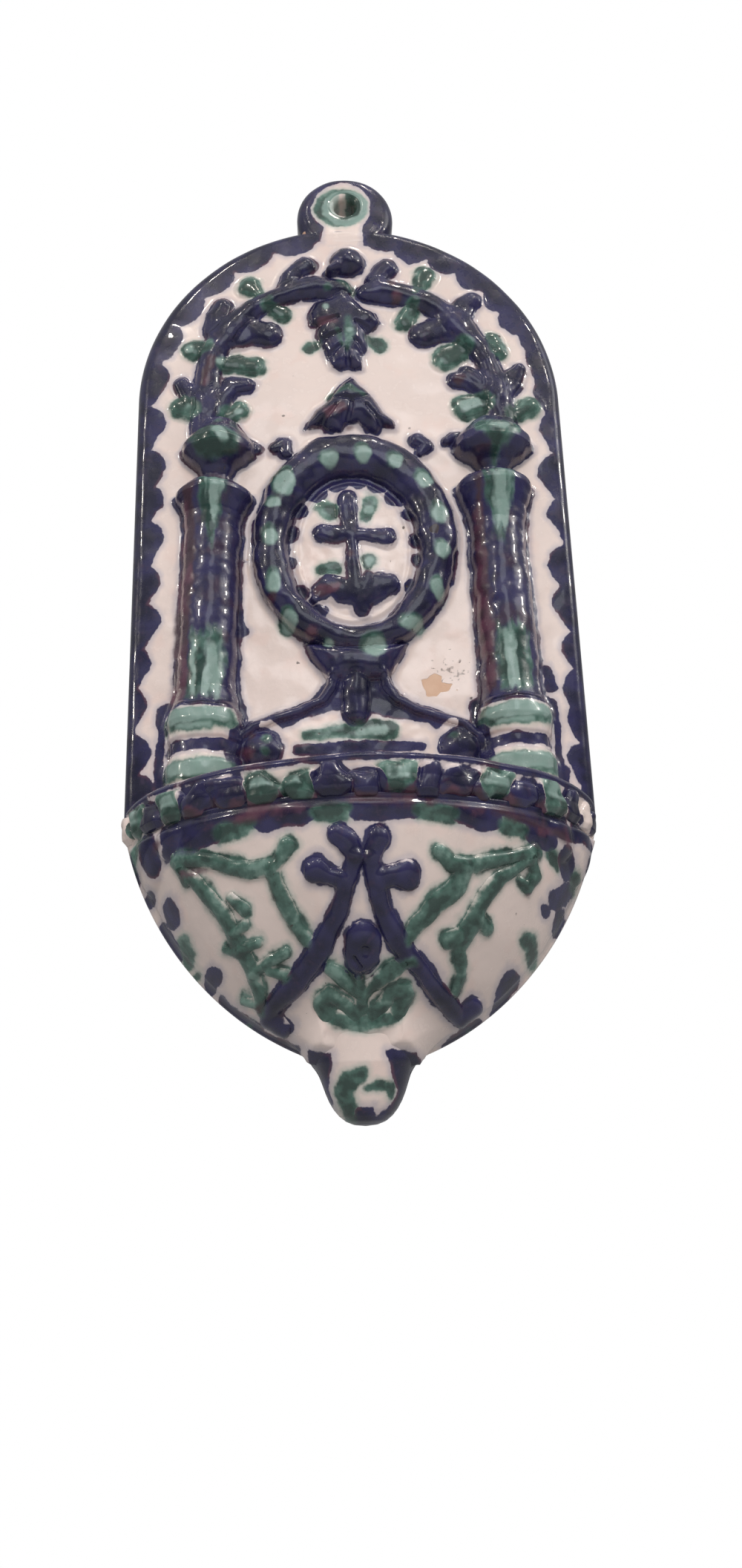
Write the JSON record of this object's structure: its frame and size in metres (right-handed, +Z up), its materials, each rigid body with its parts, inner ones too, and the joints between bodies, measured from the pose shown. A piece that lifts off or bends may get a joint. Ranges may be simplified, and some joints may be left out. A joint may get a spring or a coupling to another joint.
{
  "type": "holy water stoup",
  "caption": "Wall-hung holy water stoup in glazed earthenware: arched back plate with relief columns and an oval ring, hanging hole, half-round basin with frilled rim.",
  "frame": {"origin": "middle of the hanging hole, in the plane of the wall", "axes": "+Z up, +Y into the wall, so the stoup faces -Y; +X to the right of someone who faces it"},
  "size_m": [0.119, 0.0511, 0.2737],
  "materials": {
    "white_glaze": "gloss",
    "cobalt_glaze": "gloss",
    "green_glaze": "gloss"
  },
  "bodies": {
    "root": {"back_slab": "white_glaze", "hanging_lug": "white_glaze", "basin": "white_glaze", "frilled_rim": "white_glaze", "drip_finial": "white_glaze", "medallion": "white_glaze", "pedestal_foot": "white_glaze", "ring_frame": "cobalt_glaze", "medallion_cross": "cobalt_glaze", "ring_knop": "cobalt_glaze", "keystone_bud": "cobalt_glaze", "bowl_boss": "cobalt_glaze", "pedestal_drop": "cobalt_glaze", "left_column_shaft": "cobalt_glaze", "left_capital": "cobalt_glaze", "left_scroll": "cobalt_glaze", "left_boss": "cobalt_glaze", "left_bud": "cobalt_glaze", "left_baton": "cobalt_glaze", "left_garland_stem": "cobalt_glaze", "right_column_shaft": "cobalt_glaze", "right_capital": "cobalt_glaze", "right_scroll": "cobalt_glaze", "right_boss": "cobalt_glaze", "right_bud": "cobalt_glaze", "right_baton": "cobalt_glaze", "right_garland_stem": "cobalt_glaze", "pendant_leaf": "green_glaze", "palmette": "green_glaze", "bowl_fleur": "green_glaze", "left_column_base": "green_glaze", "left_outer_leaves": "green_glaze", "left_inner_leaves": "green_glaze", "left_upper_spray": "green_glaze", "left_lower_spray": "green_glaze", "right_column_base": "green_glaze", "right_outer_leaves": "green_glaze", "right_inner_leaves": "green_glaze", "right_upper_spray": "green_glaze", "right_lower_spray": "green_glaze"}
  },
  "joints": []
}
